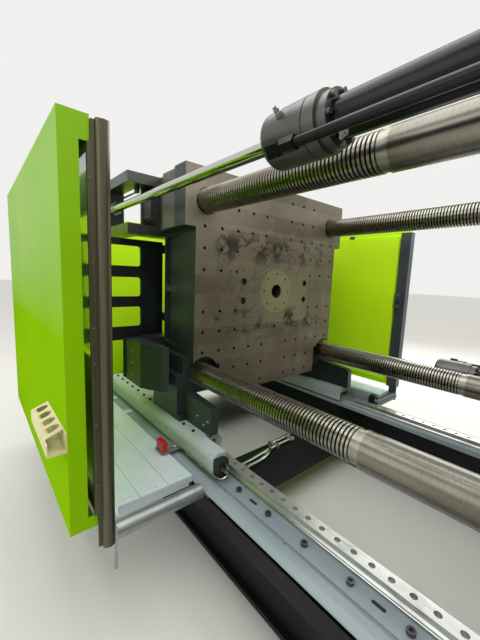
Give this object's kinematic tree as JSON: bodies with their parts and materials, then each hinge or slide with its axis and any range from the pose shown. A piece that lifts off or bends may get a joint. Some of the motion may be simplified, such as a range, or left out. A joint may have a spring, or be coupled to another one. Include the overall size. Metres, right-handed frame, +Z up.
{
  "type": "injection moulding machine",
  "caption": "Two-platen injection moulding machine with grooved tie bars, split lock nuts, ribbed platens, sliding guard doors and a screw injection unit",
  "frame": {"origin": "middle of the machine's outline, on the floor", "axes": "+X from the moving platen to the injection unit, +Y away from the operator, +Z up"},
  "size_m": [8.29, 3.184, 2.466],
  "materials": {
    "deck_coat": "satin dark blue-grey bed paint",
    "platen_coat": "dark green-grey casting paint",
    "ground_steel": "ground",
    "bar_steel": "oiled and turned",
    "chrome_rod": "hard chrome",
    "machinery_black": "satin black",
    "dark_steel": "blackened",
    "shoe_coat": "light grey",
    "guard_green": "gloss green powder coat",
    "bronze_profile": "anodised dark bronze",
    "beige_plastic": "pressed beige sheet",
    "grey_coat": "light grey powder coat",
    "zinc_plate": "zinc plated",
    "clear_pane": "clear",
    "stop_red": "gloss red",
    "walk_sheet": "worn grey sheet"
  },
  "bodies": {
    "machine": {"bed_frame": "deck_coat", "levelling_pads": "dark_steel", "guide_rails": "ground_steel", "deck_screws": "dark_steel", "position_rods": "chrome_rod", "fixed_platen": "platen_coat", "tie_bars": "bar_steel", "tie_bar_nuts": "dark_steel", "traverse_heads": "dark_steel", "traverse_tubes": "machinery_black", "traverse_pipes": "machinery_black", "walkway": "walk_sheet", "door_tracks": "machinery_black", "end_guard": "guard_green", "side_guards": "guard_green", "platen_covers": "guard_green", "lubrication_unit": "machinery_black", "injection_base": "grey_coat"},
    "clamp": {"moving_platen": "platen_coat", "lock_housings": "dark_steel", "lock_covers": "machinery_black", "safety_screens": "machinery_black", "guide_shoes": "shoe_coat", "runner_blocks": "dark_steel", "shoe_end_blocks": "machinery_black", "traverse_rods": "chrome_rod", "ejector_cylinders": "machinery_black"},
    "lock_fo": {"lock_nuts_front_outer": "dark_steel", "lock_drives_front": "machinery_black"},
    "lock_fi": {"lock_nuts_front_inner": "dark_steel", "lock_rods_front": "chrome_rod"},
    "lock_ro": {"lock_nuts_rear_outer": "dark_steel", "lock_drives_rear": "machinery_black"},
    "lock_ri": {"lock_nuts_rear_inner": "dark_steel", "lock_rods_rear": "chrome_rod"},
    "ejector": {"ejector_plate": "dark_steel", "ejector_rods": "ground_steel", "ejector_pistons": "chrome_rod"},
    "front_door": {"front_door_shell": "guard_green", "front_door_frame": "bronze_profile", "front_door_pane": "clear_pane", "front_door_carriers": "zinc_plate", "can_holder": "beige_plastic"},
    "rear_door": {"rear_door_shell": "guard_green", "rear_door_frame": "dark_steel"},
    "panel": {"panel_arm": "grey_coat", "operator_panel": "machinery_black"},
    "stop_button": {"emergency_stop": "stop_red"},
    "injection": {"injection_slide": "dark_steel", "barrel": "ground_steel", "heater_bands": "zinc_plate", "barrel_guard": "grey_coat", "hopper": "ground_steel", "injection_cylinders": "machinery_black"},
    "drive": {"screw_drive": "machinery_black", "injection_pistons": "chrome_rod"},
    "feed_screw": {"screw": "ground_steel"},
    "lid": {"hopper_lid": "zinc_plate"},
    "cabinet_left": {"cabinet_door_left": "grey_coat"},
    "cabinet_right": {"cabinet_door_right": "grey_coat"}
  },
  "joints": [
    {"name": "platen_slide", "type": "slide", "parent": "machine", "child": "clamp", "axis": [1, 0, 0], "range_m": [0, 1.539]},
    {"name": "lock_front_outer", "type": "slide", "parent": "clamp", "child": "lock_fo", "axis": [0, 1, 0], "range_m": [0, 0.042]},
    {"name": "lock_front_inner", "type": "slide", "parent": "clamp", "child": "lock_fi", "axis": [0, -1, 0], "range_m": [0, 0.042]},
    {"name": "lock_rear_outer", "type": "slide", "parent": "clamp", "child": "lock_ro", "axis": [0, -1, 0], "range_m": [0, 0.042]},
    {"name": "lock_rear_inner", "type": "slide", "parent": "clamp", "child": "lock_ri", "axis": [0, 1, 0], "range_m": [0, 0.042]},
    {"name": "ejector_slide", "type": "slide", "parent": "clamp", "child": "ejector", "axis": [1, 0, 0], "range_m": [0, 0.14]},
    {"name": "front_door_slide", "type": "slide", "parent": "machine", "child": "front_door", "axis": [1, 0, 0], "range_m": [0, 1.4]},
    {"name": "rear_door_slide", "type": "slide", "parent": "machine", "child": "rear_door", "axis": [1, 0, 0], "range_m": [0, 1.5]},
    {"name": "panel_swing", "type": "hinge", "parent": "machine", "child": "panel", "pos_m": [-0.325, -1.48, 1.975], "axis": [0, 0, 1], "range_deg": [-100, 0]},
    {"name": "stop_press", "type": "slide", "parent": "panel", "child": "stop_button", "axis": [0, 1, 0], "range_m": [0, 0.006], "stiffness_N_per_m": 400},
    {"name": "injection_slide_move", "type": "slide", "parent": "machine", "child": "injection", "axis": [-1, 0, 0], "range_m": [0, 0.35]},
    {"name": "screw_stroke", "type": "slide", "parent": "injection", "child": "drive", "axis": [1, 0, 0], "range_m": [0, 0.4]},
    {"name": "screw_turn", "type": "hinge", "parent": "drive", "child": "feed_screw", "pos_m": [2.575, 0.12, 1.55], "axis": [1, 0, 0], "continuous": true},
    {"name": "lid_hinge", "type": "hinge", "parent": "injection", "child": "lid", "pos_m": [1.845, 0.474, 2.428], "axis": [-1, 0, 0], "range_deg": [0, 80]},
    {"name": "cabinet_left_hinge", "type": "hinge", "parent": "machine", "child": "cabinet_left", "pos_m": [2.913, -1.076, 1], "axis": [0, 0, -1], "range_deg": [0, 100]},
    {"name": "cabinet_right_hinge", "type": "hinge", "parent": "machine", "child": "cabinet_right", "pos_m": [4.137, -1.076, 1], "axis": [0, 0, 1], "range_deg": [0, 100]}
  ],
  "couplings": [
    {"joint": "lock_front_inner", "follows": "lock_front_outer", "ratio": 1},
    {"joint": "lock_rear_outer", "follows": "lock_front_outer", "ratio": 1},
    {"joint": "lock_rear_inner", "follows": "lock_front_outer", "ratio": 1}
  ]
}
